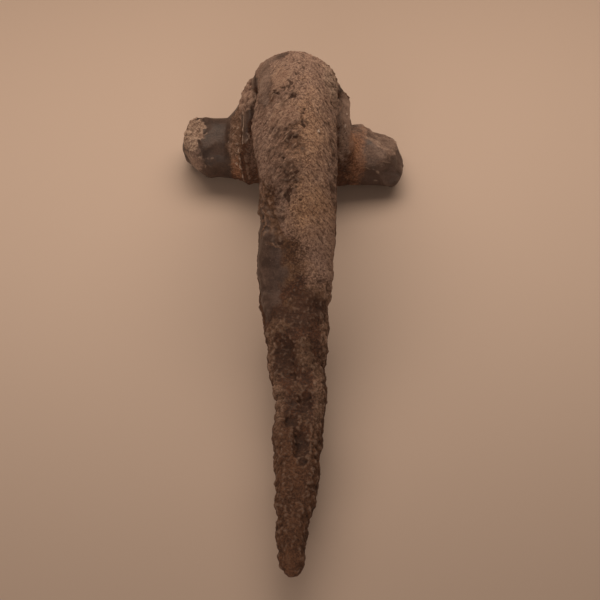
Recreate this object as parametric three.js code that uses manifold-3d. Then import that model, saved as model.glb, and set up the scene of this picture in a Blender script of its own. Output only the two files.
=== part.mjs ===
// A rusted iron bow brooch (fibula) of T shape, lying on its underside as it would on a table.
// It is one forged and corroded mass: a short crossbar with both ends broken off, a swollen head
// around the middle of the bar, a thick bow that rises behind the head and arches forward, a long
// tapering foot, and under the foot the stub of the catch plate. The pin and spring are lost.
// Millimetres, +Z up. The crossbar runs along X and the foot points along -Y. The origin is on the
// surface the brooch lies on, under the middle of its bounding box.
import * as THREE from "three";
import { ImprovedNoise } from "three/addons/math/ImprovedNoise.js";
import { mergeVertices } from "three/addons/utils/BufferGeometryUtils.js";
import Module from "manifold-3d";

const wasm = await Module();
wasm.setup();
const noise = new ImprovedNoise();
const { lerp, smoothstep, degToRad } = THREE.MathUtils;

// ---- Driving dimensions ----
const ARM_RADIUS = 4.5; // arms of the crossbar
const BAR_HEIGHT = 4.65; // axis of the crossbar above the surface
const BAR_LEFT = 18; // the middle of the bow to the broken end of the left arm
const BAR_RIGHT = 16.2; // the same to the right
const BAR_SKEW = degToRad(-2.2); // the bar isn't quite square to the bow
const HEAD_TOP = 13; // top of the head above the bar's axis
const HEAD_BACK = 9.1; // back of the head behind it
const ARCH_HEIGHT = 24.5; // centre line of the bow at its highest
const ARCH_BACK = 3.2; // how far the bow's centre line stands out behind the bar's axis
const FOOT_HEIGHT = 8.2; // centre line of the foot where the bow runs into it
const FOOT_REACH = 75.6; // the bar's axis to the tip of the foot
const PLATE_THICK = 2.2; // stub of the catch plate
const FLAT_SPOT = 0.5; // height to which the lowest points are worn flat, so that the brooch lies still

const BOW_MESH = { rings: 92, sides: 34 };
const BAR_MESH = { rings: 46, sides: 30 };
const PLATE_MESH = { rings: 26, sides: 12 };
const CUTTER = [10, 24, 10]; // reaches right across an arm, and stays clear of the head

// ---- Shaping tools ----

// Value at a place, from a list of [place, value] rows, rounded off between the rows.
function profile(rows, at) {
  if (at <= rows[0][0]) return rows[0][1];
  for (let i = 1; i < rows.length; i++) {
    const [from, start] = rows[i - 1];
    const [to, end] = rows[i];
    const straight = (at - from) / (to - from);
    if (at <= to) return lerp(start, end, lerp(straight, smoothstep(at, from, to), 0.6));
  }
  return rows[rows.length - 1][1];
}

// Slow swelling and sinking of a rusted surface, up to about half of size millimetres each way.
function lumps(point, spacing, size) {
  return size * noise.noise(point.x / spacing + 7.3, point.y / spacing + 1.7, point.z / spacing + 4.1);
}

// 1 along the middle of a loft, falling to 0 at each end as a quarter of an ellipse does.
function roundedEnds(at, length, round) {
  const start = Math.min(1, at / round);
  const finish = Math.min(1, (length - at) / round);
  return Math.sqrt(1 - (1 - start) ** 2) * Math.sqrt(1 - (1 - finish) ** 2);
}

// A closed skin of ovals threaded on a path. sectionAt(along) gives the oval's reach to the left
// and right, to the outer and inner side, and how square it is. reliefAt(along, across, facing,
// point) gives what the surface stands out there: across is in millimetres from the path, and
// facing is 1 on the outer side and -1 on the inner.
function loft({ path, sideways, sectionAt, reliefAt, round, rings, sides }) {
  const skin = new THREE.SphereGeometry(1, sides, rings);
  const place = skin.attributes.position;
  const grid = skin.attributes.uv;
  const length = path.getLength();
  for (let i = 0; i < place.count; i++) {
    const share = 1 - grid.getY(i);
    const eased = share - (0.55 * Math.sin(2 * Math.PI * share)) / (2 * Math.PI);
    const at = eased * length;
    const angle = grid.getX(i) * 2 * Math.PI;
    const outward = path.getTangentAt(eased).cross(sideways).normalize();
    const section = sectionAt(at);
    const end = roundedEnds(at, length, round);
    const power = 2 / section.square;
    const s = Math.sign(-Math.cos(angle)) * Math.abs(Math.cos(angle)) ** power;
    const o = Math.sign(Math.sin(angle)) * Math.abs(Math.sin(angle)) ** power;
    const across = s * (s < 0 ? section.left : section.right) * end;
    const out = o * (o < 0 ? section.inner : section.outer) * end;
    const point = path.getPointAt(eased).addScaledVector(sideways, across).addScaledVector(outward, out);
    const relief = reliefAt(at, across, o, point) * end;
    point.addScaledVector(sideways, -Math.cos(angle) * relief);
    point.addScaledVector(outward, Math.sin(angle) * relief);
    place.setXYZ(i, point.x, point.y, point.z);
  }
  return solidOf(skin);
}

function solidOf(geometry) {
  const bare = geometry.clone();
  bare.deleteAttribute("normal");
  bare.deleteAttribute("uv");
  const merged = mergeVertices(bare, 1e-4);
  const vertProperties = merged.attributes.position.array;
  const triVerts = new Uint32Array(merged.index.array);
  return new wasm.Manifold(new wasm.Mesh({ numProp: 3, vertProperties, triVerts }));
}

function geometryOf(solid) {
  const { vertProperties, triVerts } = solid.getMesh();
  const geometry = new THREE.BufferGeometry();
  geometry.setAttribute("position", new THREE.BufferAttribute(vertProperties, 3));
  geometry.setIndex(new THREE.BufferAttribute(triVerts, 1));
  geometry.computeVertexNormals();
  return geometry;
}

// Breaks off what lies beyond a plane through the point at, facing along normal.
function breakOff(solid, at, normal) {
  const facing = new THREE.Vector3(...normal).normalize();
  const cutter = new THREE.BoxGeometry(...CUTTER);
  cutter.applyQuaternion(new THREE.Quaternion().setFromUnitVectors(new THREE.Vector3(0, 0, 1), facing));
  const middle = new THREE.Vector3(...at).addScaledVector(facing, CUTTER[2] / 2);
  cutter.translate(middle.x, middle.y, middle.z);
  return solid.subtract(solidOf(cutter));
}

// ---- Bow and foot: places are millimetres along the bow's centre line from the crossbar ----

const BOW_PATH = new THREE.CatmullRomCurve3(
  [
    [0, 0.6, BAR_HEIGHT],
    [0, ARCH_BACK - 0.3, 11],
    [0, ARCH_BACK - 0.2, 17.2],
    [0, -1.2, 22.7],
    [0, -7.6, ARCH_HEIGHT],
    [0, -15.2, 22.2],
    [0, -22.6, 16.6],
    [0.1, -29.6, 11.2],
    [0.2, -37.5, FOOT_HEIGHT + 0.4],
    [0.6, -50, FOOT_HEIGHT - 0.5],
    [0.2, -63, FOOT_HEIGHT - 1.6],
    [0.1, -FOOT_REACH, FOOT_HEIGHT - 3],
  ].map(([x, y, z]) => new THREE.Vector3(x, y, z)),
);
const BOW_LEFT = [
  [0, 7.4], [12, 7.4], [19, 6.4], [25, 6.2], [30, 6.8], [33, 6.7], [38, 5.7], [52, 5.8], [60, 4.9],
  [66, 4.0], [72, 3.3], [80, 3.4], [88, 2.6], [95, 2.1], [100, 1.7],
];
const BOW_RIGHT = [
  [0, 7.9], [9.5, 8.0], [14, 6.0], [19, 5.2], [27, 5.5], [34, 5.6], [44, 5.6], [52, 5.3], [57, 4.5],
  [61, 4.7], [66, 4.0], [71, 4.1], [80, 3.4], [88, 3.1], [93, 2.1], [100, 1.8],
];
const BOW_OUTER = [[0, 5.5], [11, 5.3], [17, 4.4], [36, 4.5], [58, 3.8], [80, 3.0], [100, 2.3]];
const BOW_INNER = [[0, 4.0], [18, 4.0], [36, 3.8], [58, 3.4], [80, 2.8], [100, 2.2]];
const BOW_SQUARE = [[0, 2.6], [12, 2.0], [24, 2.0], [36, 2.2], [62, 2.6], [100, 2.3]];
const BOW_LUMPS = [[0, 0.35], [45, 0.35], [62, 0.9], [100, 0.8]];

// Scabs stand out of the outer face and hollows, with a minus sign, are where one has come away:
// middle along and across the bow, size along and across, and height.
const SCABS = [
  { at: 25.4, across: -2.2, long: 4.4, wide: 5, high: 0.35 },
  { at: 30, across: -2, long: 4, wide: 4.6, high: 0.3 },
  { at: 42, across: -3.8, long: 6, wide: 4, high: -0.35 },
  { at: 55.5, across: 4.4, long: 6, wide: 2.4, high: 0.6 },
  { at: 62, across: -3, long: 3.4, wide: 3.4, high: 0.7 },
  { at: 67, across: -2.1, long: 6.4, wide: 3, high: -1 },
  { at: 66.3, across: 0.9, long: 5, wide: 3.2, high: 0.4 },
  { at: 73.5, across: 0.8, long: 2.6, wide: 2, high: -0.6 },
  { at: 76.6, across: -0.9, long: 2.6, wide: 2, high: -0.5 },
  { at: 78, across: 0, long: 28, wide: 3.6, high: -0.4 },
  { at: 80.5, across: 0.8, long: 5, wide: 2.2, high: -0.6 },
  { at: 97.5, across: 0, long: 3, wide: 2.4, high: -0.3 },
];

function bowSection(at) {
  return {
    left: profile(BOW_LEFT, at),
    right: profile(BOW_RIGHT, at),
    outer: profile(BOW_OUTER, at),
    inner: profile(BOW_INNER, at),
    square: profile(BOW_SQUARE, at),
  };
}

function scab({ at, across, long, wide, high }, here, hereAcross) {
  const away = Math.hypot((here - at) / (long / 2), (hereAcross - across) / (wide / 2));
  return high * (1 - smoothstep(away, 0.55, 1.25));
}

function bowRelief(at, across, facing, point) {
  const rust = lumps(point, 4.5, profile(BOW_LUMPS, at));
  if (facing <= 0) return rust;
  const carved = SCABS.reduce((sum, one) => sum + scab(one, at, across), 0);
  return rust + carved * smoothstep(facing, 0.1, 0.5);
}

function bow() {
  const sideways = new THREE.Vector3(1, 0, 0);
  const shape = { path: BOW_PATH, sideways, sectionAt: bowSection, reliefAt: bowRelief, round: 3 };
  return loft({ ...shape, ...BOW_MESH });
}

// ---- Crossbar and head: places are millimetres to the right of the middle of the bow ----

const BAR_UP = [
  [-11.4, ARM_RADIUS], [-9.8, 6.6], [-9.1, 8.7], [-8.6, 10.8], [-8, HEAD_TOP], [-7.3, HEAD_TOP - 0.2],
  [-6.7, HEAD_TOP - 0.9], [-5.5, HEAD_TOP], [5.5, HEAD_TOP - 1], [6.8, HEAD_TOP - 2.2], [7.7, 9.5],
  [8.1, 5.4], [9, ARM_RADIUS],
];
const BAR_BACK = [
  [-11.4, ARM_RADIUS], [-9.8, 5.8], [-9.1, 6.7], [-8.6, 8], [-8, HEAD_BACK], [7.4, HEAD_BACK - 0.6],
  [8.4, ARM_RADIUS],
];
const BAR_FRONT = [
  [-12, ARM_RADIUS], [-10, 4.9], [-8.6, 5.4], [-7.7, 6.2], [-7.2, 5.5], [6, 5.2], [8.4, ARM_RADIUS],
];
const BAR_PATH = new THREE.LineCurve3(
  new THREE.Vector3(-BAR_LEFT, 0, BAR_HEIGHT),
  new THREE.Vector3(BAR_RIGHT, 0, BAR_HEIGHT),
);

function barSection(at) {
  const x = at - BAR_LEFT;
  return {
    left: profile(BAR_FRONT, x),
    right: profile(BAR_BACK, x),
    outer: profile(BAR_UP, x),
    inner: ARM_RADIUS,
    square: 2.1,
  };
}

function crossbar() {
  const sideways = new THREE.Vector3(0, 1, 0);
  const reliefAt = (at, across, facing, point) => lumps(point, 4.5, 0.5);
  const shape = { path: BAR_PATH, sideways, sectionAt: barSection, reliefAt, round: 2 };
  let bar = loft({ ...shape, ...BAR_MESH });
  // Left end: a scar along the top, and a piece gone from the lower front.
  bar = breakOff(bar, [-15.2, -2.1, BAR_HEIGHT + 3.9], [-0.41, 0.14, 0.9]);
  bar = breakOff(bar, [-17, -2.1, BAR_HEIGHT - 1.5], [-0.58, -0.66, -0.46]);
  // Right end: a long scar along the top, a blunt end, and a chipped lower corner.
  bar = breakOff(bar, [12.4, 1.4, BAR_HEIGHT + 2.1], [0.41, 0.51, 0.75]);
  bar = breakOff(bar, [15.5, 0.6, BAR_HEIGHT + 0.4], [0.91, 0.34, 0.24]);
  bar = breakOff(bar, [15.9, -2.9, BAR_HEIGHT - 2], [0.81, -0.48, -0.34]);
  return bar.rotate([0, 0, THREE.MathUtils.radToDeg(BAR_SKEW)]);
}

// ---- Stub of the catch plate: places are millimetres along it towards the tip ----

const PLATE_PATH = new THREE.LineCurve3(
  new THREE.Vector3(0.5, -43, FOOT_HEIGHT - 3),
  new THREE.Vector3(0.2, -70, FOOT_HEIGHT - 4),
);
const PLATE_DROP = [[0, 3.2], [4, 5], [11, 4.8], [14, 5.2], [20, 4.6], [27, 3.2]];

function catchPlate() {
  const sideways = new THREE.Vector3(1, 0, 0);
  const sectionAt = (at) => ({
    left: PLATE_THICK / 2,
    right: PLATE_THICK / 2,
    outer: 2,
    inner: profile(PLATE_DROP, at),
    square: 4,
  });
  const reliefAt = (at, across, facing, point) => lumps(point, 3, 0.5);
  return loft({ path: PLATE_PATH, sideways, sectionAt, reliefAt, round: 4, ...PLATE_MESH });
}

// ---- The whole brooch ----

// Wears everything below a height away, and sets what is left down on the surface, centred.
function layFlat(solid, height) {
  const worn = solid.trimByPlane([0, 0, 1], height);
  const { min, max } = worn.boundingBox();
  return worn.translate([-(min[0] + max[0]) / 2, -(min[1] + max[1]) / 2, -height]);
}

function brooch() {
  const solid = layFlat(bow().add(crossbar()).add(catchPlate()), FLAT_SPOT);
  const iron = new THREE.MeshStandardMaterial({ color: 0x5a4334, roughness: 0.85, metalness: 0.1 });
  const mesh = new THREE.Mesh(geometryOf(solid), iron);
  mesh.name = "brooch";
  return mesh;
}

const group = new THREE.Group();
group.add(brooch());
export default group;
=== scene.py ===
import math

import bpy
import numpy as np
from mathutils import Matrix, Vector, noise


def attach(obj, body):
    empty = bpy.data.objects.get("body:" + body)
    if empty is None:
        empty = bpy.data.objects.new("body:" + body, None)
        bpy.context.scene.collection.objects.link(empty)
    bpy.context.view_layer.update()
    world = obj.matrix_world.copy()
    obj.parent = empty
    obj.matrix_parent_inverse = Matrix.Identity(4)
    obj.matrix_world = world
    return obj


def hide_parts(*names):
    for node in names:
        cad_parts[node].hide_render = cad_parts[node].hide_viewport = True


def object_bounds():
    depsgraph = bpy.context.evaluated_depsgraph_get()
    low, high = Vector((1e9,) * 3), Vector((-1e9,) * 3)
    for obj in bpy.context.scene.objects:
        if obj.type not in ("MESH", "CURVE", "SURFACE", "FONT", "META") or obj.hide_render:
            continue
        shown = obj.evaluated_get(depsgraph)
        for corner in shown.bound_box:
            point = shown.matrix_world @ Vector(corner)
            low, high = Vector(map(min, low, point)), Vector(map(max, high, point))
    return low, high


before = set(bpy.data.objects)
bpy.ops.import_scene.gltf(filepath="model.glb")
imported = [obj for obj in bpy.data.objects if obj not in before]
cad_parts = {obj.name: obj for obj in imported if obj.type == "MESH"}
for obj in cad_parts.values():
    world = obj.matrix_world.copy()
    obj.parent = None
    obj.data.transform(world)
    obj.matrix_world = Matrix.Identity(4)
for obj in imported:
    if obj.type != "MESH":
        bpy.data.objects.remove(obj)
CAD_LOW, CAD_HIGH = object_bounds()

MM = 0.001

# ---- Sizes, in millimetres ----
SKIN_STEP = 0.15  # edge of a face of the finer mesh
SKIN_FACES = 196000  # triangles that are kept of it, most of them where it is rough
FACET_SMOOTHING = 14  # rounds that take the solid's flat faces out
FACET_PULL = 0.5  # share of the way to its neighbours that a point goes in one round
PLAIN_KEPT = 0.82  # share of all faces left once those underneath and inside the arch are thinned
LIFT = 0.08  # makes up for what the smoothing shrinks the forging by
REST_FADE = 0.6  # height over which the worn flats give way to the rough surface
STAND_PROUD = 0.3  # how far the rough surface may stand out of the solid's box
SUNK_ROUNDS = 8  # rounds of averaging that tell what is sunk from what stands out
SUNK_GAIN = 4.0  # what a millimetre sunk adds to the 0.5 that is noted where the skin is level
HEAD_MIDDLE = 0.3  # x of the head's middle, with an arm beyond it on each side

# The bow's centre line from the crossbar, up behind the head and over to the tip of the foot.
BOW_LINE = [
    (33.7, 4.2), (36.0, 10.5), (36.1, 16.7), (31.9, 22.2), (25.5, 24.0), (17.9, 21.7),
    (10.5, 16.1), (3.5, 10.7), (-4.4, 8.1), (-16.9, 7.2), (-29.9, 6.1), (-42.5, 4.7),
]  # y and z
BOW_MIDDLE = ([0, 52, 73, 88, 100], [0.95, 1.05, 1.55, 1.2, 1.05])  # x of that line, by distance along it


# ---- Numbers over the skin ----

def smooth(value, low, high):
    """0 at low, 1 at high, and an even slope between."""
    share = np.clip((value - low) / (high - low), 0, 1)
    return share * share * (3 - 2 * share)


def shift_of(seed):
    """How far the noise is moved for each seed, so that no two patterns fall together."""
    return Vector((seed * 7.13 + 3.7, seed * 3.31 + 1.9, seed * 5.77 + 8.3))


def swell(points, spacing, seed):
    """Smooth noise, from about -1 to 1, whose swellings are spacing apart."""
    shift = shift_of(seed)
    return 1.6 * np.array([noise.noise(Vector(p) / spacing + shift) for p in points])


def dents(points, spacing, seed, rare=0.35):
    """1 in scattered uneven dents of about half the spacing, and 0 between them."""
    return smooth(swell(points, spacing, seed), rare, rare + 0.45)


def scoops(points, spacing, seed):
    """Shallow scoops with sharp ridges between them, as chipped iron has: 0 in the middle of a scoop
    and 1 on a ridge."""
    shift = shift_of(seed)
    nearest = np.array([noise.voronoi(Vector(p) / spacing + shift)[0][0] for p in points])
    return np.minimum(1, 1.6 * nearest ** 2)


def terraces(value, steps):
    """The same value in flat steps with short slopes between them, as flaking rust has."""
    scaled = value * steps
    level = np.floor(scaled)
    return (level + smooth(scaled - level, 0.0, 0.3)) / steps


def curve_points(rows, steps):
    """Points on a smooth curve through the rows."""
    ends = [2 * np.array(rows[0]) - np.array(rows[1]), 2 * np.array(rows[-1]) - np.array(rows[-2])]
    knots = [ends[0], *[np.array(r) for r in rows], ends[1]]
    found = []
    for a, b, c, d in zip(knots, knots[1:], knots[2:], knots[3:]):
        for t in np.arange(steps) / steps:
            found.append(0.5 * (2 * b + (c - a) * t + (2 * a - 5 * b + 4 * c - d) * t ** 2
                                + (3 * b - a - 3 * c + d) * t ** 3))
    return np.array([*found, knots[-2]])


def follow(points, line):
    """Each point's distance from a line, and how far along the line the nearest place is."""
    distance = np.full(len(points), np.inf)
    along = np.zeros(len(points))
    gone = 0.0
    for start, end in zip(line, line[1:]):
        step = end - start
        length = np.linalg.norm(step) + 1e-6
        share = np.clip((points - start) @ step / length ** 2, 0, 1)
        gap = np.linalg.norm(points - start - share[:, None] * step, axis=1)
        closer = gap < distance
        distance[closer] = gap[closer]
        along[closer] = gone + share[closer] * length
        gone += length
    return distance, along


def read_vectors(items, name):
    """A vector property of all the items, one row for each."""
    found = np.zeros(len(items) * 3)
    items.foreach_get(name, found)
    return found.reshape(-1, 3)


def measure(mesh):
    """Where each point of the skin is and which way it faces, along and across the bow too."""
    at = read_vectors(mesh.vertices, "co") / MM
    facing = read_vectors(mesh.vertex_normals, "vector")
    line = curve_points(BOW_LINE, 9)
    steps = np.linalg.norm(np.diff(line, axis=0), axis=1)
    gone = np.concatenate([[0], np.cumsum(steps)])
    heading = np.gradient(line, axis=0)
    heading /= np.linalg.norm(heading, axis=1)[:, None]
    along = follow(at[:, 1:], line)[1]
    ahead = np.stack([np.interp(along, gone, heading[:, i]) for i in (0, 1)], axis=1)
    across = at[:, 0] - np.interp(along, *BOW_MIDDLE)
    outer = facing[:, 1] * ahead[:, 1] - facing[:, 2] * ahead[:, 0]
    middle = np.stack([np.interp(along, gone, line[:, i]) for i in (0, 1)], axis=1)
    above = (at[:, 1] - middle[:, 0]) * ahead[:, 1] - (at[:, 2] - middle[:, 1]) * ahead[:, 0]
    bends = [0.3 * swell(at, 1.1, seed) + 0.16 * swell(at, 0.5, seed + 3) for seed in (21, 22, 23)]
    return {
        "at": at,
        "facing": facing,
        "along": along,
        "across": across,
        "outer": outer,
        "above": above,
        "bend": np.stack(bends, axis=1),
        "ragged": 0.5 * swell(at, 2.0, 1) + 0.4 * swell(at, 0.8, 2),
        "coarse": swell(at, 1.5, 4),
        "grit": swell(at, 0.8, 5),
        "scoops": scoops(at, 3.0, 12),
    }


# ---- Where things lie on it ----

def spot(skin, along, across, long, wide, soft=0.3, ragged=0.3):
    """1 inside a ragged patch on the outer face of the bow or foot, given in its length and width."""
    here = skin["along"] + skin["bend"][:, 0]
    here_across = skin["across"] + skin["bend"][:, 1]
    away = np.hypot((here - along) / (long / 2), (here_across - across) / (wide / 2))
    inside = 1 - smooth(away + ragged * skin["ragged"], 1 - soft, 1 + soft)
    return inside * smooth(skin["outer"], 0, 0.3)


def spots(skin, rows, soft=0.3, ragged=0.3):
    """Several such patches together: rows of along, across, long and wide."""
    return np.max([spot(skin, *row, soft=soft, ragged=ragged) for row in rows], axis=0)


def lump(skin, middle, reach, soft=0.3, ragged=0.3):
    """1 inside a ragged patch around a point anywhere on the brooch, reach being how far it goes each way."""
    away = np.linalg.norm((skin["at"] + skin["bend"] - np.array(middle)) / np.array(reach), axis=1)
    return 1 - smooth(away + ragged * skin["ragged"], 1 - soft, 1 + soft)


def thread(skin, points, width, wander=0.12):
    """1 along a thin line over the skin past the points, and 0 beyond its width."""
    line = curve_points(points, 4)
    line = np.array([skin["at"][np.argmin(np.sum((skin["at"] - p) ** 2, axis=1))] for p in line])
    gap = follow(skin["at"], line)[0]
    return 1 - smooth(gap + wander * skin["ragged"], 0.25 * width, width)


# The slanting end of the crust: distances across the bow, and how far along it ends at each.
CRUST_END = (
    [-5.5, -3.2, -2.2, -0.6, 1.5, 2.6, 4.2, 5.0],
    [43.0, 43.8, 46.5, 46.8, 48.5, 50.3, 52.6, 55.5],
)

# Patches on the bow and foot: along, across, long and wide.
CRUST_GAPS = [(24, -5.2, 12, 1.8), (19.6, -3.2, 3.0, 2.4), (41.0, -4.4, 7.4, 2.8), (47.4, -2.4, 2.2, 1.6)]
FLAKES = [(25, -3.2, 3.6, 4.0), (30.2, -2.7, 3.6, 3.4), (30.0, -0.9, 2.4, 1.4)]
SCARS = [(26.2, -1.6, 0.5, 0.9), (26.6, -2.5, 0.35, 0.9), (27.0, -3.4, 0.4, 0.7), (27.8, -1.1, 0.45, 1.7),
         (29.6, 0.4, 0.9, 0.4), (22.6, -0.5, 0.5, 0.5), (23.6, 0.3, 0.5, 0.5), (24.6, -0.7, 0.7, 0.4),
         (31.2, 0.5, 0.9, 0.5), (33.0, -0.8, 0.5, 0.8), (35.4, -2.4, 0.6, 0.4), (37.0, -0.6, 0.4, 0.7)]
ROUGH_ZONES = [(27.9, -2.9, 2.4, 4.4), (33.6, -1.4, 4.4, 4.2), (37.2, -1.0, 3.4, 2.6), (40.6, -3.9, 7.2, 3.8)]
ROUGH_SCABS = [(38.6, -4.2, 1.4, 1.6), (39.6, -2.8, 1.4, 1.6), (41.4, -4.4, 1.6, 1.8), (42.4, -2.7, 1.3, 1.5),
               (43.4, -4.6, 1.2, 1.4)]
TORN_EDGE = [(41.5, -4.6, 9.0, 4.0), (46.6, -3.0, 3.0, 3.0)]
TONGUE = (50.5, 3.4, 11, 5.4)
PITTED_EDGE = [(37.0, 5.2, 13, 1.8), (24.0, -5.0, 8, 1.6)]
PALE_RIM = (21.5, 4.9, 10, 3.2)
GREY_STRIPS = [(20.5, -5.0, 15, 3.2), (20.0, 5.9, 11, 1.8)]
DEEP_HOLES = [(40.2, -1.5, 1.9, 0.8), (46.9, -2.5, 0.9, 1.3), (51.9, 0.6, 0.5, 0.8)]
BARE_BOW = [(51.5, -5.2, 18, 6.2), (23.5, -5.2, 14, 2.4), (20.0, -3.4, 5.0, 3.6)]
WORN_CRUST = [(21.5, 5.4, 13, 3.6), (35.0, -1.8, 9.0, 4.6)]
BROWN_PATCHES = [(52.2, -1.6, 3.6, 2.8), (51.2, 1.1, 2.6, 2.8), (55.6, 2.4, 4.2, 3.2), (57.6, -0.6, 2.6, 2.4)]
YELLOW_SOIL_AND_PAINTED_LIGHT = [(32.5, 1.4, 13, 7.0), (43.5, 2.0, 12, 6.6)]
PINK_SOIL = [(49, 3.6, 13, 6.0), (20, 2.6, 8, 5)]
SCABS = [(61.4, -2.9, 3.2, 3.4), (66.2, 0.9, 5.2, 3.0), (71.4, -0.1, 2.0, 2.4), (76.4, 0.9, 2.4, 1.6)]
# SHADED: painted shade, darker patches where the bow runs down into the foot.
SHADED = [(57.6, 1.4, 5.4, 5.8), (60.4, 0.4, 3.4, 4.0), (59.2, -2.6, 2.6, 3.0)]
HOLLOWS = [(66.0, -1.9, 5.8, 3.4), (73.8, 0.8, 2.6, 2.0), (77.0, -0.9, 2.0, 1.6), (80.6, 0.8, 5.0, 1.9)]
TIP_FLAT = (97.6, 0.0, 3.4, 2.6)
RING_PIT = (83.2, 0.9)  # along and across, of a round pit with a raised rim
RING_PIT_RADIUS = 0.85
FOOT_EDGES = [(55.5, 4.9, 8, 1.6), (63, 4.2, 9, 1.8), (71, 3.0, 9, 1.8), (79, 2.7, 9, 1.6), (88, 2.0, 9, 1.4),
              (66, -4.2, 7, 1.6), (73, -3.2, 9, 2.0), (81, -2.9, 10, 2.2), (89, -2.0, 9, 1.6)]

# Lines and specks on the head, the arms and the bow: x, y and z in the row's frame.
COLLAR = [(-6.9, 33.6, 16.0), (-7.1, 31.4, 15.2), (-7.1, 30.0, 13.7), (-7.2, 29.0, 11.8)]
COLLAR_EDGE = [(-7.4, 32.4, 15.4), (-7.45, 30.9, 14.3), (-7.5, 29.5, 12.2), (-7.7, 28.9, 10.4)]
HOOK = [(-6.9, 29.4, 13.2), (-6.7, 29.1, 12.9), (-6.75, 28.9, 12.4), (-6.95, 28.9, 11.9)]
LOWER_RING = [(-8.2, 29.1, 9.7), (-7.9, 28.2, 6.9), (-7.4, 28.0, 3.2)]
INNER_RING = [(-7.2, 28.0, 9.1), (-6.9, 27.4, 6.5), (-6.7, 27.4, 4.5)]
STRIP_EDGE = [(-5.7, 34.7, 19.3), (-6.0, 34.4, 17.2), (-6.3, 32.3, 16.4)]
GROOVE = [(-6.6, 29.4, 13.7), (-6.3, 28.4, 11.2), (-5.9, 27.9, 8.3), (-5.6, 27.7, 4.8)]
CLEFT = [(-6.9, 36.8, 15.3), (-7.1, 35.4, 15.3), (-7.5, 34.8, 14.8), (-7.7, 33.9, 14.4)]
RIGHT_RIM = [(6.1, 31.0, 24.2), (6.6, 34.0, 18.0), (7.0, 33.6, 15.6), (7.2, 30.4, 14.0), (7.1, 28.8, 10.4)]
BRIGHT_SPECKS = [(8.35, 32.4, 13.9), (7.95, 30.6, 13.5), (7.95, 30.0, 12.7), (3.9, 19.2, 26.6)]
SCUFFS = [
    [(-12.4, 29.6, 6.6), (-12.6, 29.2, 5.4)], [(-13.3, 29.4, 6.4), (-13.6, 29.0, 4.6)],
    [(-14.6, 30.0, 6.4), (-15.2, 29.7, 5.2)], [(-15.8, 31.0, 6.6), (-16.2, 30.6, 5.6)],
    [(10.2, 28.7, 5.9), (12.0, 28.6, 5.7), (13.5, 28.3, 4.9)], [(9.6, 28.3, 2.6), (13.0, 28.2, 2.9)],
    [(12.4, 29.5, 7.2), (15.2, 28.9, 6.5)],
]
SCRATCHES = [
    [(-3.6, 5.0, 15.4), (-3.2, 4.3, 15.1), (-2.5, 3.8, 15.1)], [(-3.5, 6.4, 16.0), (-2.9, 6.1, 16.3)],
    [(-3.0, 2.6, 14.6), (-2.3, 2.2, 14.6)],
]
RIGHT_SCAR_WAY = (0.41, 0.51, 0.75)  # the way the long break on top of the right arm faces


def crust_left(skin, end):
    """1 where the crust still holds, over the back of the bow and down to its slanting broken end."""
    crust = 1 - smooth(skin["along"] + 1.4 * skin["ragged"], end - 3.4, end + 1.6)
    crust = crust * smooth(skin["along"] + 3.0 * skin["ragged"] + 1.5 * skin["coarse"], 10, 15)
    over_head = 1 - smooth(skin["along"], 24, 30)
    crust = crust * smooth(skin["outer"] + 0.12 * skin["ragged"] + 0.15 * over_head, 0.08, 0.3)
    return crust * (1 - spots(skin, CRUST_GAPS, soft=0.7))


def soil_on_bow(skin, coats, crust, near_end):
    """Yellow soil lightened as painted light, pink soil, the pale rim, worn stretches of the crust, and grey
    iron beside it.
    """
    lay(coats, "arm_crust", 0.95 * spot(skin, *PALE_RIM, soft=0.7) * crust)
    # The yellow soil is lighter than the crust partly as painted light, where the bow slopes forward away
    # from the lamps.
    lay(coats, "yellow_and_painted_light", 0.6 * spot(skin, *YELLOW_SOIL_AND_PAINTED_LIGHT[0], soft=0.9))
    lay(coats, "yellow_and_painted_light", 0.85 * spot(skin, *YELLOW_SOIL_AND_PAINTED_LIGHT[1], soft=0.8) * (1 - 0.5 * near_end))
    lay(coats, "pink", 0.7 * spots(skin, PINK_SOIL, soft=0.9))
    lay(coats, "worn_crust", np.maximum(spots(skin, WORN_CRUST, soft=0.6), 0.75 * near_end) * crust)
    lay(coats, "cheek", 0.6 * spots(skin, GREY_STRIPS, soft=0.5) * (1 - 0.5 * crust))


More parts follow.
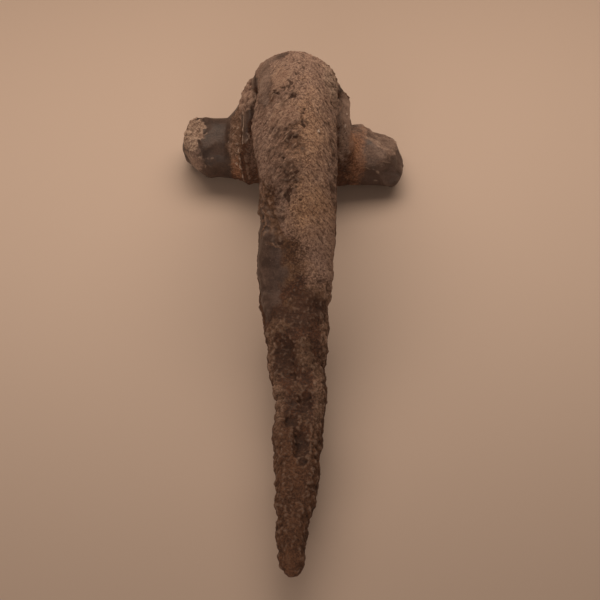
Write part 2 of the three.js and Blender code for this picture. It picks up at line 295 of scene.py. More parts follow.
def crusted_bow(skin, coats):
    """Pale gritty crust with flakes, scars and pits on the bow, and bare and brown iron where it ends."""
    end = np.interp(skin["across"], *CRUST_END)
    crust = crust_left(skin, end)
    flakes = spots(skin, FLAKES, soft=0.16, ragged=0.4) * crust
    zones = spots(skin, ROUGH_ZONES, soft=0.8) * crust
    holes = spots(skin, SCARS + DEEP_HOLES, soft=0.3, ragged=0.6)
    rough = spots(skin, ROUGH_SCABS, soft=0.3, ragged=0.5)
    torn = spots(skin, TORN_EDGE, soft=0.5) * (1 - crust)
    crumbs = dents(skin["at"], 0.7, 24, 0.1)
    brown = spots(skin, BROWN_PATCHES, soft=0.5)
    near_end = smooth(skin["along"], end - 5, end)
    tongue = spot(skin, *TONGUE, soft=0.6)
    pitted = spots(skin, PITTED_EDGE, soft=0.4) * crust
    edge_pits = np.clip(0.5 + 0.4 * skin["grit"] + 0.3 * skin["coarse"], 0, 1)
    lay(coats, "bare", spots(skin, BARE_BOW, soft=0.5) * (1 - crust))
    fading = smooth(skin["along"], end - 2, end + 1) * (1 - smooth(skin["along"], end + 2, end + 5))
    lay(coats, "brown", np.clip(brown + 0.6 * torn + 0.5 * fading * smooth(skin["outer"], 0, 0.3), 0, 1))
    lay(coats, "edge", torn * crumbs)
    lay(coats, "crust", crust)
    lay(coats, "streaky", crust * (1 - flakes) * (1 - 0.8 * tongue) * (1 - 0.8 * near_end))
    lay(coats, "combed", crust * smooth(np.abs(skin["across"] + skin["ragged"]), 1.0, 3.2))
    lay(coats, "flake", 0.45 * tongue * crust)
    lay(coats, "speck", 0.6 * pitted * dents(skin["at"], 0.8, 27, 0.6))
    lay(coats, "flake", 0.8 * flakes)
    soil_on_bow(skin, coats, crust, near_end)
    dark = zones * (0.6 + 0.6 * skin["grit"]) + 0.6 * holes + 0.75 * pitted * edge_pits
    lay(coats, "dark", np.clip(dark, 0, 1))
    height = 0.1 * crust + 0.12 * flakes + 0.04 * brown + rough * (0.14 + 0.08 * skin["grit"]) - 0.1 * holes
    height = height + torn * (0.1 * crumbs + 0.12 * skin["grit"]) - 0.1 * pitted * edge_pits
    return height + zones * (0.16 * skin["grit"] - 0.06)


def scabby_foot(skin, coats):
    """Scabs of rust with hollows where others came away, between two raised and gritty edges."""
    scabs = spots(skin, SCABS[:2], soft=0.3, ragged=0.4) + 0.7 * spots(skin, SCABS[2:], soft=0.4)
    edges = spots(skin, FOOT_EDGES, soft=0.6, ragged=0.8) * (1 - coats["crust"])
    hollows = spots(skin, HOLLOWS, soft=0.6)
    flat = spot(skin, *TIP_FLAT, soft=0.15, ragged=0.1)
    gap = np.hypot(skin["along"] - RING_PIT[0], skin["across"] - RING_PIT[1]) + 0.3 * skin["bend"][:, 0]
    on_top = smooth(skin["outer"], 0, 0.3)
    rim = (1 - smooth(np.abs(gap - RING_PIT_RADIUS), 0.05, 0.3)) * on_top
    pit = (1 - smooth(gap, 0.3, RING_PIT_RADIUS)) * on_top
    crumbs = dents(skin["at"], 0.6, 15, 0.25)
    flecks = dents(skin["at"], 0.8, 25, 0.55) * (0.1 + 0.9 * edges)
    foot = smooth(skin["along"], 56, 60) * on_top
    lay(coats, "edge", np.clip(edges * (0.75 + 0.2 * crumbs) + 0.3 * rim, 0, 1))
    lay(coats, "soil", smooth(skin["along"], 70, 86) * on_top * (1 - hollows))
    lay(coats, "pale", 0.45 * flecks * foot)
    lay(coats, "scab", np.clip(scabs * (0.75 + 0.3 * skin["grit"]), 0, 1))
    # The SHADED patches laid here as dark are painted shade.
    lay(coats, "dark", np.clip(0.8 * hollows + 0.6 * pit + 0.8 * spots(skin, SHADED, soft=0.6), 0, 1))
    lay(coats, "dull", 0.7 * flat)
    height = 0.12 * scabs + edges * (0.1 + 0.06 * crumbs) - 0.17 * hollows - 0.08 * flat
    return height + 0.08 * rim - 0.18 * pit


def head_sides(skin, coats):
    """Bare iron on both sides of the head, a rolled collar around the left one, and bright rust in
    the corners."""
    y = skin["at"][:, 1]
    sides = (1 - smooth(np.abs(skin["outer"]), 0.3, 0.6)) * smooth(y, 24, 27)
    flange = lump(skin, (-7.4, 34.8, 15.4), (1.8, 3.4, 2.8), soft=0.3)
    flare = lump(skin, (-9.0, 31.0, 10.0), (1.2, 5.0, 5.6), soft=0.4, ragged=0.5)
    cheek = lump(skin, (8.2, 31.4, 12.6), (1.5, 5.4, 5.4), soft=0.4)
    collar = thread(skin, COLLAR, 0.7)
    rings = np.max([thread(skin, line, 0.34) for line in (LOWER_RING, INNER_RING)], axis=0)
    seam = thread(skin, STRIP_EDGE, 0.6)
    hook = thread(skin, HOOK, 0.16, 0.02)
    collar_ridge_painted_glint = thread(skin, COLLAR_EDGE, 0.25, 0.04)
    ring_ridge_painted_glint = thread(skin, LOWER_RING, 0.25, 0.04)
    groove = thread(skin, GROOVE, 0.9)
    painted_cleft_shade = thread(skin, CLEFT, 0.45)
    rim = thread(skin, RIGHT_RIM, 0.35)
    specks = np.max([lump(skin, middle, (0.18, 0.18, 0.18), ragged=0) for middle in BRIGHT_SPECKS], axis=0)
    right_rust = lump(skin, (9.8, 30.6, 7.0), (1.4, 4.2, 5.4), soft=0.9, ragged=0.7)
    left_rust = lump(skin, (-8.6, 28.4, 5.0), (0.9, 1.6, 4.0), soft=0.8, ragged=0.6)
    lay(coats, "bare", np.clip(sides * (1 - coats["crust"]) * (1 - flare) + collar, 0, 1))
    lay(coats, "brown", flare)
    lay(coats, "edge", np.maximum(flange, 0.5 * flare))
    lay(coats, "pink", 0.8 * flange)
    trough = lump(skin, (-6.2, 28.4, 9.0), (1.0, 1.8, 5.6), soft=0.5)
    grey = np.max([cheek, 0.3 * flare, 0.36 * trough], axis=0)
    lay(coats, "cheek", grey * (1 - coats["crust"]))
    # Painted shade: a dark line along the cleft on the left of the head and along the crease at the right
    # rim.
    lay(coats, "dark", np.clip(0.3 * painted_cleft_shade + 0.4 * rim, 0, 1))
    lay(coats, "rust", np.clip(0.62 * right_rust + 0.5 * left_rust, 0, 1))
    # Painted highlight: a light, smooth coat along the collar's edge, the hook and the lower ring.
    lay(coats, "painted_glint", np.maximum(collar_ridge_painted_glint * smooth(skin["grit"], -0.9, 0.0), 0.5 * hook))
    lay(coats, "painted_glint", 0.85 * ring_ridge_painted_glint * smooth(skin["grit"], -0.1, 0.6))
    # Painted highlight: a pale line along the edge of the grey strip.
    lay(coats, "pale", 0.5 * thread(skin, STRIP_EDGE, 0.25))
    lay(coats, "speck", np.maximum(specks, 0.6 * flare * dents(skin["at"], 0.7, 15, 0.5)))
    painted_glint_ridges = np.maximum(collar_ridge_painted_glint, ring_ridge_painted_glint) + hook
    height = 0.25 * flange + 0.22 * collar + 0.12 * rings + 0.08 * painted_glint_ridges
    height = height - 0.1 * groove + 0.4 * seam + 0.15 * rim
    return height + 0.1 * specks + flange * 0.25 * skin["grit"] + flare * 0.1 * skin["grit"]


def broken_arms(skin, coats):
    """Dark arms whose broken ends are chipped in scoops, with crust left on their tops. The scratches
    lie on the bow and are pale like the arms' scuffs."""
    x = skin["at"][:, 0]
    arms = smooth(np.abs(x - HEAD_MIDDLE), 9.2, 10.6) * smooth(skin["at"][:, 1], 20, 22)
    scar = skin["facing"] @ np.array(RIGHT_SCAR_WAY) + 0.12 * skin["ragged"]
    scar = smooth(scar, 0.8, 0.92) * smooth(x, 9.6, 10.4)
    left = lump(skin, (-16.6, 34.4, 7.6), (2.9, 4.0, 2.6), soft=0.12)
    left = left * smooth(skin["facing"][:, 2], -0.1, 0.25)
    ends = smooth(np.abs(x - HEAD_MIDDLE), 11.8, 13.6)
    chipped = lump(skin, (-15.6, 30.0, 5.2), (2.2, 2.2, 2.8), soft=0.3, ragged=0.5)
    upper = lump(skin, (12.4, 29.8, 7.4), (3.2, 2.0, 1.8), soft=0.4)
    scuffs = np.max([thread(skin, line, 0.3, 0.2) for line in SCUFFS], axis=0)
    scuffs = scuffs * smooth(skin["grit"], -0.4, 0.5)
    scratches = np.max([thread(skin, line, 0.16, 0.1) for line in SCRATCHES], axis=0)
    under = lump(skin, (-12.0, 30.0, 4.0), (3.0, 3.4, 3.0), soft=0.6)
    lay(coats, "bare", arms * (1 - scar) * (1 - left))
    lay(coats, "dull", arms * (x < 0) * (1 - left))
    # Painted shade on the low side of the left arm.
    lay(coats, "dark", 0.3 * under)
    lay(coats, "arm_crust", np.clip(left + scar * (0.1 + 0.55 * dents(skin["at"], 1.6, 16, 0.0)), 0, 1))
    lay(coats, "cheek", np.clip(0.5 * scar + 0.6 * chipped * (1 - left) + 0.5 * upper, 0, 1))
    pale_chips = 0.6 * chipped * (1 - left) * dents(skin["at"], 0.9, 18, 0.1)
    lay(coats, "pale", 0.6 * scuffs + 0.4 * scratches + pale_chips)
    corner = lump(skin, (16.0, 29.8, 2.6), (1.8, 1.8, 2.0), soft=0.6, ragged=0.2)
    step = lump(skin, (11.3, 35.4, 6.5), (0.9, 2.4, 2.0), soft=0.5, ragged=0.2)
    height = arms * (0.1 + 0.22 * ends) * (skin["scoops"] - 0.4) + 0.08 * scuffs + 0.4 * corner + 0.36 * step
    height = height + left * (0.12 + 0.16 * skin["grit"] - 0.2 * dents(skin["at"], 1.1, 17))
    return height + scar * (0.05 + 0.08 * skin["grit"])


# Flat breaks and worn faces: a point on each, the way it faces, and how far it reaches.
HEAD_FACES = [
    ((1.0, 36.9, 22.8), (0.09, 0.81, 0.57), 5.0), ((3.4, 36.9, 20.8), (0.55, 0.68, 0.48), 4.5),
    ((5.05, 36.45, 19.2), (0.89, 0.37, 0.26), 2.2), ((7.4, 37.4, 13.7), (0.8, 0.49, 0.34), 3.5),
    ((8.55, 37.5, 9.8), (1.0, 0.0, 0.0), 6.0), ((-4.5, 37.9, 18.4), (-0.86, 0.42, 0.29), 1.9),
    ((-4.1, 37.5, 20.3), (-0.49, 0.72, 0.5), 3.0),
]
RIGHT_ARM_FACES = [
    ((12.5, 29.6, 7.7), (0.12, -0.42, 0.9), 9), ((13.5, 28.9, 5.6), (0.16, -0.97, 0.2), 9),
    ((11.6, 28.9, 4.6), (-0.16, -0.98, 0.02), 9), ((15.3, 28.3, 1.5), (0.2, -0.86, -0.46), 9),
    ((15.3, 31.0, 6.4), (0.86, -0.1, 0.5), 9), ((13.3, 36.4, 4.3), (0.32, 0.78, 0.54), 9),
]
LEFT_ARM_FACES = [
    ((-15.2, 30.6, 6.7), (-0.55, -0.42, 0.72), 9), ((-14.2, 29.3, 4.6), (-0.36, -0.93, 0.1), 9),
    ((-15.6, 30.8, 3.6), (-0.86, -0.5, -0.1), 9), ((-16.8, 35.0, 6.3), (-0.8, 0.1, 0.6), 9),
    ((-12.6, 29.2, 2.4), (-0.45, -0.75, -0.48), 9),
]


def flatten(at, faces, near, uneven):
    """Moves back onto each face what stands past it within its reach."""
    for point, way, reach in faces:
        way = np.array(way) / np.linalg.norm(way)
        gap = at - np.array(point)
        past = np.maximum(0, gap @ way + uneven)
        inside = 1 - smooth(np.linalg.norm(gap, axis=1), reach, reach + 1)
        at = at - way * (near * inside * past)[:, None]
    return at


def break_off(skin, at):
    """Cuts the head and the two arms back to their flat faces, a little unevenly."""
    uneven = 0.1 * skin["ragged"] + 0.05 * skin["grit"]
    x = at[:, 0] - HEAD_MIDDLE
    at = flatten(at, HEAD_FACES, smooth(at[:, 1], 30, 33) * (1 - smooth(np.abs(x), 9.4, 10.2)), uneven)
    at = flatten(at, RIGHT_ARM_FACES, smooth(x, 9.8, 10.8), uneven)
    return flatten(at, LEFT_ARM_FACES, smooth(-x, 9.8, 10.8), uneven)


# Nicks in the two flanks of the bow and foot, and bulges where deep is below 0: along, side, long and deep.
FLANK_NICKS = [
    (44.2, -1, 2.4, 0.4),
    (54.0, 1, 2.5, 0.35), (57.5, 1, 3.0, 0.2), (61.5, 1, 3.0, 0.2), (77.8, 1, 3.6, 0.3), (81.5, 1, 3.0, 0.3),
    (86.5, 1, 4.0, -0.3), (90.5, 1, 3.4, 0.35), (64.0, -1, 2.4, 0.35), (69.8, -1, 2.0, 0.2),
    (72.6, -1, 1.2, 0.3), (77.6, -1, 5.0, -0.15), (84.0, -1, 2.6, 0.3), (86.8, -1, 2.4, 0.35),
    (91.4, -1, 3.2, 0.45), (97.8, -1, 3.0, 0.25), (97.0, 1, 2.0, -0.15),
]


def nicks(skin):
    """How deep the nicks go at each point of the flanks' upper part, and below 0 how far bulges stand out."""
    depth = np.zeros(len(skin["at"]))
    for along, side, long, deep in FLANK_NICKS:
        away = np.abs(skin["along"] + 0.5 * skin["bend"][:, 0] - along) / (long / 2)
        depth += deep * (1 - smooth(away, 0.5, 1.3)) * smooth(side * skin["facing"][:, 0], 0.0, 0.6)
    return depth * smooth(skin["above"], -2.4, -0.8)


def arcs_of(skin):
    """Places over the bow in the run of its grain, which arches over and fans out to both sides."""
    along, across = skin["along"], skin["across"]
    down = along - 1.15 * np.sqrt(across ** 2 + 1.2)
    return np.stack([down, across / 2.2, 0.3 * skin["outer"]], axis=1)


def surface_grain(skin, coats):
    """The roughness of each kind of surface: streaky or plain grit, rust that flakes in steps, and
    smooth iron."""
    at, coarse, grit = skin["at"], skin["coarse"], skin["grit"]
    arcs = arcs_of(skin)
    fine = swell(at, 0.42, 6)
    finest = swell(at, 0.34, 13)
    pits = dents(at, 1.3, 9)
    small_pits = dents(at, 0.7, 10)
    flaking = terraces(0.5 * swell(at, 3.2, 3) + 0.4 * coarse + 0.25 * grit, 4)
    foot = smooth(skin["along"], 57, 62)

    streaky = coats["streaky"]
    combed = coats["combed"]
    gritty = np.clip(coats["arm_crust"] + 0.6 * coats["edge"] + 0.5 * coats["scab"], 0, 1)
    bare = np.maximum(coats["bare"], coats["dull"]) * (1 - coats["crust"])
    flake = coats["flake"]
    worn = np.clip(1 - streaky - gritty - bare - flake, 0, 1)
    height = streaky * (0.03 * coarse + 0.03 * grit + 0.04 * fine + 0.05 * finest - 0.05 * small_pits)
    height = height + combed * (0.03 * swell(arcs, 0.45, 7) - 0.08 * dents(arcs, 0.42, 11))
    height = height - combed * 0.13 * dents(arcs, 0.75, 28, 0.3)
    height = height + gritty * (0.02 * coarse + 0.04 * grit + 0.07 * fine + 0.07 * finest - 0.1 * small_pits)
    height = height + worn * (0.06 * flaking + 0.02 * coarse + 0.025 * grit + 0.05 * fine + 0.05 * finest)
    height = height - worn * (0.05 * pits * (0.6 + 0.6 * foot) + 0.05 * small_pits)
    height = height + flake * (0.04 * coarse + 0.03 * fine + 0.03 * finest)
    return height + bare * (0.05 * flaking + 0.02 * coarse + 0.01 * grit)


COATS = [
    "brown", "bare", "dull", "edge", "crust", "streaky", "combed", "worn_crust", "flake", "arm_crust",
    "yellow_and_painted_light", "pink", "soil", "scab", "cheek", "pale", "dark", "rust", "painted_glint", "speck",
]


def lay(coats, name, share):
    """Lays more of a coat where there is less of it than share."""
    coats[name] = np.maximum(coats[name], share)


def finishes(skin):
    """How far the surface stands out at each point, and how much of each coat there is."""
    coats = {name: np.zeros(len(skin["at"])) for name in COATS}
    height = LIFT + crusted_bow(skin, coats)
    height = height + scabby_foot(skin, coats)
    height = height + head_sides(skin, coats)
    height = height + broken_arms(skin, coats)
    height = height - 0.1 * smooth(skin["along"], 52, 58) - nicks(skin)
    flanks = smooth(skin["along"], 46, 58) * smooth(np.abs(skin["facing"][:, 0]), 0.4, 0.8)
    height = height + 0.12 * flanks * (skin["grit"] + skin["coarse"])
    return height + surface_grain(skin, coats), coats


# ---- The mesh ----

def apply_modifiers(shown):
    """Gives the object the mesh that its modifiers make, in place of its own."""
    graph = bpy.context.evaluated_depsgraph_get()
    finished = bpy.data.meshes.new_from_object(shown.evaluated_get(graph))
    shown.modifiers.clear()
    was = shown.data
    shown.data = finished
    bpy.data.meshes.remove(was)


def fine_copy(node):
    """The solid's surface again in small even faces, with its own flat faces smoothed out."""
    skin = bpy.data.objects.new("forging", node.data.copy())
    skin.data.materials.clear()
    bpy.context.scene.collection.objects.link(skin)
    remesh = skin.modifiers.new("fine", "REMESH")
    remesh.mode = "VOXEL"
    remesh.voxel_size = SKIN_STEP * MM
    relax = skin.modifiers.new("relax", "SMOOTH")
    relax.iterations = FACET_SMOOTHING
    relax.factor = FACET_PULL
    apply_modifiers(skin)
    return skin


def sunk_below(mesh, height, rounds):
    """How far each point lies below the average of the skin around it."""
    ends = np.zeros(len(mesh.edges) * 2, dtype=np.int32)
    mesh.edges.foreach_get("vertices", ends)
    one, other = ends.reshape(-1, 2).T
    count = np.bincount(ends, minlength=len(height))
    around = height
    for _ in range(rounds):
        pulled = np.bincount(one, around[other], len(height)) + np.bincount(other, around[one], len(height))
        around = pulled / count
    return around - height


def work(skin_object):
    """Moves each point of the skin in or out, and notes the finishes at it for the material."""
    mesh = skin_object.data
    skin = measure(mesh)
    height, coats = finishes(skin)
    rest = smooth(skin["at"][:, 2], 0.03, REST_FADE)
    moved = break_off(skin, skin["at"]) + skin["facing"] * (height * rest)[:, None]
    room = np.array([STAND_PROUD, STAND_PROUD, 0])
    moved = np.clip(moved, np.array(CAD_LOW) / MM - room, np.array(CAD_HIGH) / MM + STAND_PROUD)
    mesh.vertices.foreach_set("co", (moved * MM).ravel())
    coats["sunk"] = np.clip(0.5 + SUNK_GAIN * sunk_below(mesh, height, SUNK_ROUNDS), 0, 1)
    for name, values in coats.items():
        mesh.attributes.new(name, "FLOAT", "POINT").data.foreach_set("value", values.astype(np.float32))
    arcs = mesh.attributes.new("arcs", "FLOAT_VECTOR", "POINT")
    arcs.data.foreach_set("vector", (arcs_of(skin) * MM).astype(np.float32).ravel())
    mesh.update()
    below = (skin["facing"][:, 2] < -0.6) | ((skin["outer"] < -0.5) & (np.abs(skin["across"]) < 6))
    skin_object.vertex_groups.new(name="below").add(np.flatnonzero(below).tolist(), 1.0, "REPLACE")


def thin_out(skin_object):
    """Leaves out faces under the brooch and inside its arch, then wherever the skin is smooth."""
    faces = 2 * len(skin_object.data.polygons)
    plain = skin_object.modifiers.new("plain", "DECIMATE")
    plain.vertex_group = "below"
    plain.ratio = PLAIN_KEPT
    spare = skin_object.modifiers.new("spare", "DECIMATE")
    spare.ratio = min(1.0, SKIN_FACES / (PLAIN_KEPT * faces))
    apply_modifiers(skin_object)
    skin_object.data.shade_smooth()


# ---- Materials ----

def linear(hex_colour):
    """An sRGB hex colour as the linear red, green, blue and alpha that Blender takes."""
    parts = [int(hex_colour[i:i + 2], 16) / 255 for i in (1, 3, 5)]
    return [c / 12.92 if c <= 0.04045 else ((c + 0.055) / 1.055) ** 2.4 for c in parts] + [1.0]


def add(tree, kind, settings=None, links=None):
    """Adds a node: settings are its properties, or values of its sockets; links join its sockets."""
    made = tree.nodes.new(kind)
    for name, value in (settings or {}).items():
        if isinstance(name, int) or name in made.inputs:
            made.inputs[name].default_value = value
        else:
            setattr(made, name, value)
    for name, source in (links or {}).items():
        tree.links.new(made.inputs[name], source)
    return made


# Each finish that lies over the one before: its layer, its darker and lighter shade, how rough it is,
# and how much of its mottling is fine grit rather than broad patches.
FINISHES = [
    ("brown", "#5f4230", "#89674b", 0.8, 0.6),
    ("bare", "#4a3931", "#6a554b", 0.45, 0.3),
    ("dull", "#3b2c25", "#574339", 0.5, 0.3),
    ("edge", "#684d3b", "#977660", 0.85, 0.7),
    ("crust", "#73574a", "#ba9d8b", 0.9, 0.7),
    ("worn_crust", "#6a5142", "#a38371", 0.8, 0.6),
    ("arm_crust", "#7a6152", "#c9b09c", 0.9, 0.6),
    ("yellow_and_painted_light", "#8a6850", "#d2aa88", 0.9, 0.7),
    ("pink", "#7b6052", "#c0a18f", 0.9, 0.6),
    ("flake", "#886958", "#b89a85", 0.85, 0.5),
    ("soil", "#523524", "#79533a", 0.85, 0.6),
    ("scab", "#583f2d", "#7c5e49", 0.85, 0.7),
    ("cheek", "#846b5e", "#b69c8c", 0.6, 0.4),
    ("pale", "#86705f", "#bda593", 0.7, 0.7),
    ("dark", "#3b2417", "#5a3a27", 0.8, 0.5),
    ("rust", "#8f5f45", "#c89673", 0.85, 0.6),
    # painted_glint: painted highlight, a light colour that is also smooth.
    ("painted_glint", "#a89282", "#d8c4b4", 0.3, 0.7),
    ("speck", "#c9b09c", "#efe0d2", 0.4, 0.7),
]
GROUND_COAT = ("#3f2515", "#674028", 0.75)  # darker and lighter shade, and how rough it is

# Sizes of the patterns in the rust, in millimetres.
PATCH_SIZE = 2.2
GRIT_SIZE = 0.28
STREAK_SIZE = 0.26  # down the bow; across it arcs_of draws a streak out to 0.6
CRUMB_SIZE = 0.35
SPECK_SIZE = 0.2
GRIT_DEPTH = 0.16  # how far the finest grit stands out to the eye, where no mesh shows it

PIT_COLOUR = "#33221a"
CRUMB_COLOUR = "#c4a58e"
# Painted shade for what is sunk, and then the lighter tint for what stands out.
SUNK_SHADE_COLOUR = "#2c1d15"
RAISED_TINT_COLOUR = "#b39c8a"
BOARD_COLOUR = "#d8c3b2"


def new_material(name):
    """An empty material, and the tree that its nodes go in."""
    material = bpy.data.materials.new(name)
    material.use_nodes = True
    material.node_tree.nodes.clear()
    return material, material.node_tree


def mottling(tree):
    """The place of each point, plainly and in the run of the grain, with the broad patches of the rust
    and its fine grain: even grit, drawn out into streaks where the crust is combed."""
    place = add(tree, "ShaderNodeTexCoord").outputs["Object"]
    arcs = add(tree, "ShaderNodeAttribute", {"attribute_name": "arcs"}).outputs["Vector"]
    patches = {"Scale": 1 / (PATCH_SIZE * MM), "Detail": 5.0, "Roughness": 0.65}
    patches = add(tree, "ShaderNodeTexNoise", patches, {"Vector": place}).outputs["Fac"]
    grit = {"Scale": 1 / (GRIT_SIZE * MM), "Detail": 3.0, "Roughness": 0.6}
    grit = add(tree, "ShaderNodeTexNoise", grit, {"Vector": place}).outputs["Fac"]
    streaks = {"Scale": 1 / (STREAK_SIZE * MM), "Detail": 3.0, "Roughness": 0.6}
    streaks = add(tree, "ShaderNodeTexNoise", streaks, {"Vector": arcs}).outputs["Fac"]
    combed = add(tree, "ShaderNodeAttribute", {"attribute_name": "combed"}).outputs["Fac"]
    combed = add(tree, "ShaderNodeMath", {"operation": "MULTIPLY", 1: 0.6}, {0: combed}).outputs[0]
    grain = add(tree, "ShaderNodeMix", {}, {0: combed, 2: grit, 3: streaks}).outputs[0]
    return place, arcs, patches, grain


def ground_coat(tree, patches, grain):
    """The dull brown rust under everything: its colour and roughness."""
    dark, light, roughness = GROUND_COAT
    mottle = add(tree, "ShaderNodeMix", {0: 0.7}, {2: patches, 3: grain}).outputs[0]
    mottle = add(tree, "ShaderNodeMapRange", {1: 0.4, 2: 0.6}, {0: mottle}).outputs[0]
    shades = {"data_type": "RGBA", 6: linear(dark), 7: linear(light)}
    colour = add(tree, "ShaderNodeMix", shades, {0: mottle}).outputs[2]
    spread = {3: roughness - 0.05, 4: roughness + 0.05}
    return colour, add(tree, "ShaderNodeMapRange", spread, {0: mottle}).outputs[0]


def laid_over(tree, finish, patches, grain, colour, rough):
    """The colour and roughness with one more finish over them, whose edge the grain frays."""
    layer, dark, light, roughness, fineness = finish
    share = add(tree, "ShaderNodeAttribute", {"attribute_name": layer}).outputs["Fac"]
    frayed = add(tree, "ShaderNodeMath", {"operation": "MULTIPLY_ADD", 1: 0.5}, {0: grain, 2: share})
    share = add(tree, "ShaderNodeMapRange", {1: 0.45, 2: 1.05}, {0: frayed.outputs[0]}).outputs[0]
    spread = add(tree, "ShaderNodeMix", {0: fineness}, {2: patches, 3: grain}).outputs[0]
    spread = add(tree, "ShaderNodeMapRange", {1: 0.4, 2: 0.6}, {0: spread}).outputs[0]
    shades = {"data_type": "RGBA", 6: linear(dark), 7: linear(light)}
    shade = add(tree, "ShaderNodeMix", shades, {0: spread}).outputs[2]
    colour = add(tree, "ShaderNodeMix", {"data_type": "RGBA"}, {0: share, 6: colour, 7: shade}).outputs[2]
    return colour, add(tree, "ShaderNodeMix", {3: roughness}, {0: share, 2: rough}).outputs[0]


def crumbs_and_pits(tree, arcs, colour):
    """Pale crumbs that stand out on the crust, with dark pits between them."""
    crumbs = {"Scale": 1 / (CRUMB_SIZE * MM), "Detail": 2.0, "Roughness": 0.5}
    crumbs = add(tree, "ShaderNodeTexNoise", crumbs, {"Vector": arcs}).outputs["Fac"]
    crusty = add(tree, "ShaderNodeAttribute", {"attribute_name": "streaky"}).outputs["Fac"]
    for low, high, tint in ((0.56, 0.7, PIT_COLOUR), (0.42, 0.3, CRUMB_COLOUR)):
        share = add(tree, "ShaderNodeMapRange", {1: low, 2: high, 3: 0.0, 4: 0.6}, {0: crumbs}).outputs[0]
        share = add(tree, "ShaderNodeMath", {"operation": "MULTIPLY"}, {0: share, 1: crusty}).outputs[0]
        colour = add(tree, "ShaderNodeMix", {"data_type": "RGBA", 7: linear(tint)},
                     {0: share, 6: colour}).outputs[2]
    return colour


def dark_specks(tree, place, smoothed, colour):
    """Dark specks, faint where the iron is smooth."""
    specks = {"Scale": 1 / (SPECK_SIZE * MM), "Detail": 1.0}
    specks = add(tree, "ShaderNodeTexNoise", specks, {"Vector": place}).outputs["Fac"]
    most = add(tree, "ShaderNodeMapRange", {3: 0.5, 4: 0.1}, {0: smoothed}).outputs[0]
    share = add(tree, "ShaderNodeMapRange", {1: 0.53, 2: 0.66}, {0: specks, 4: most}).outputs[0]
    return add(tree, "ShaderNodeMix", {"data_type": "RGBA", 7: linear(PIT_COLOUR)},
               {0: share, 6: colour}).outputs[2]


def sunk_shade_and_raised_tint(tree, colour):
    """Painted shade, darker in what is sunk, and a lighter tint on what stands out."""
    sunk = add(tree, "ShaderNodeAttribute", {"attribute_name": "sunk"}).outputs["Fac"]
    sunk_shade = add(tree, "ShaderNodeMapRange", {1: 0.5, 2: 0.9, 3: 0.0, 4: 0.45}, {0: sunk}).outputs[0]
    raised_tint = add(tree, "ShaderNodeMapRange", {1: 0.45, 2: 0.15, 3: 0.0, 4: 0.3}, {0: sunk}).outputs[0]
    for tint, share in ((SUNK_SHADE_COLOUR, sunk_shade), (RAISED_TINT_COLOUR, raised_tint)):
        colour = add(tree, "ShaderNodeMix", {"data_type": "RGBA", 7: linear(tint)},
                     {0: share, 6: colour}).outputs[2]
    return colour


def rusted_iron():
    """Wrought iron after centuries in the ground: dull brown rust, smooth and dark where the crust of
    soil came away, pale and gritty where it still holds, with brighter rust in the corners."""
    material, tree = new_material("rusted_iron")
    place, arcs, patches, grain = mottling(tree)
    colour, rough = ground_coat(tree, patches, grain)
    for finish in FINISHES:
        colour, rough = laid_over(tree, finish, patches, grain, colour, rough)
    smoothed = add(tree, "ShaderNodeAttribute", {"attribute_name": "bare"}).outputs["Fac"]
    colour = crumbs_and_pits(tree, arcs, colour)
    colour = dark_specks(tree, place, smoothed, colour)
    colour = sunk_shade_and_raised_tint(tree, colour)
    depth = add(tree, "ShaderNodeMapRange", {3: 0.9, 4: 0.5}, {0: smoothed}).outputs[0]
    bump = add(tree, "ShaderNodeBump", {"Distance": GRIT_DEPTH * MM}, {"Height": grain, "Strength": depth})
    surface = add(tree, "ShaderNodeBsdfPrincipled", {"Metallic": 0.0},
                  {"Base Color": colour, "Roughness": rough, "Normal": bump.outputs[0]})
    add(tree, "ShaderNodeOutputMaterial", {}, {"Surface": surface.outputs[0]})
    return material


def painted_board():
    """A painted board: pale and warm, with a dull sheen."""
    material, tree = new_material("painted_board")
    surface = add(tree, "ShaderNodeBsdfPrincipled", {"Base Color": linear(BOARD_COLOUR), "Roughness": 0.5})
    add(tree, "ShaderNodeOutputMaterial", {}, {"Surface": surface.outputs[0]})
    return material


# ---- Floor, lights and camera ----

ROOM_GLOW = 0.10  # strength of the light from all around


def floor():
    half = 1.5  # metres from the middle of the shelf to each edge
    mesh = bpy.data.meshes.new("shelf")
    corners = [(-half, -half, 0), (half, -half, 0), (half, half, 0), (-half, half, 0)]
    mesh.from_pydata(corners, [], [(0, 1, 2, 3)])
    mesh.materials.append(painted_board())
    shelf = bpy.data.objects.new("shelf", mesh)
    bpy.context.scene.collection.objects.link(shelf)


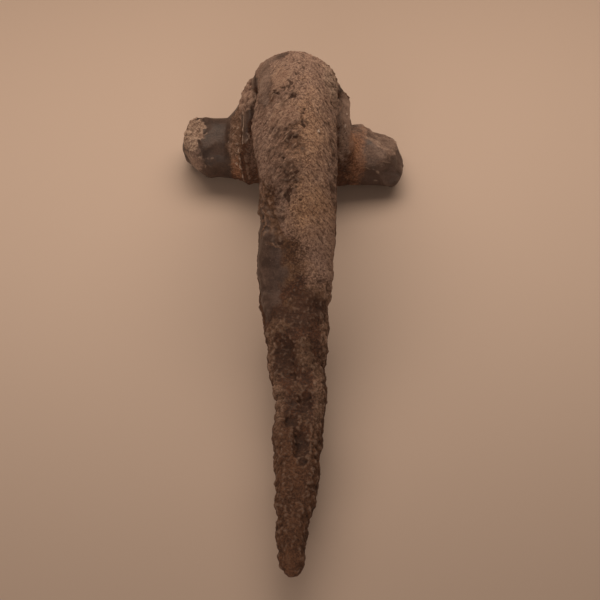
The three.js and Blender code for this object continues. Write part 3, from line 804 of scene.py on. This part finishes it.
def lamp(name, place, aim, size, watts, colour, spread):
    """A flat lamp: places and sizes are in metres, and spread in degrees."""
    data = bpy.data.lights.new(name, "AREA")
    data.shape = "RECTANGLE"
    data.size, data.size_y = size
    data.energy = watts
    data.color = linear(colour)[:3]
    data.spread = math.radians(spread)
    made = bpy.data.objects.new(name, data)
    made.location = place
    made.rotation_euler = (Vector(aim) - Vector(place)).to_track_quat("-Z", "Y").to_euler()
    bpy.context.scene.collection.objects.link(made)


def lights():
    lamp("case_lamps", place=(-0.005, 0.090, 0.118), aim=(0.0, 0.022, 0), size=(0.22, 0.07),
         watts=0.070, colour="#ffe6d0", spread=110)
    lamp("room_lamp", place=(-0.08, -0.36, 0.12), aim=(0, 0, 0.01), size=(0.3, 0.12),
         watts=0.3, colour="#ffe9d8", spread=150)
    world = bpy.data.worlds.new("room_light")
    world.use_nodes = True
    background = world.node_tree.nodes["Background"]
    background.inputs["Color"].default_value = linear("#ffeadb")
    background.inputs["Strength"].default_value = ROOM_GLOW
    bpy.context.scene.world = world


CAMERA_HEIGHT = 55  # degrees above the shelf
CAMERA_ROLL = 1.0  # degrees
CAMERA_DISTANCE = 360  # millimetres from what it is aimed at
CAMERA_AIM = (1.5, -0.4, 11.5)  # millimetres in the row's frame
FIELD_OF_VIEW = 13.87  # degrees


def camera():
    data = bpy.data.cameras.new("camera")
    data.sensor_width = 36
    data.angle = math.radians(FIELD_OF_VIEW)
    data.clip_start, data.clip_end = 0.01, 10
    made = bpy.data.objects.new("camera", data)
    tilt = math.radians(CAMERA_HEIGHT)
    back = Vector((0, -math.cos(tilt), math.sin(tilt)))
    made.location = (Vector(CAMERA_AIM) + back * CAMERA_DISTANCE) * MM
    made.rotation_mode = "QUATERNION"
    turn = Matrix.Rotation(math.radians(CAMERA_ROLL), 4, back).to_quaternion()
    made.rotation_quaternion = turn @ (-back).to_track_quat("-Z", "Y")
    bpy.context.scene.collection.objects.link(made)
    bpy.context.scene.camera = made


def brooch():
    skin = fine_copy(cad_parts["brooch"])
    work(skin)
    thin_out(skin)
    skin.data.materials.append(rusted_iron())
    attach(skin, "root")
    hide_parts("brooch")


brooch()
floor()
lights()
camera()
bpy.context.scene.view_settings.view_transform = "Standard"
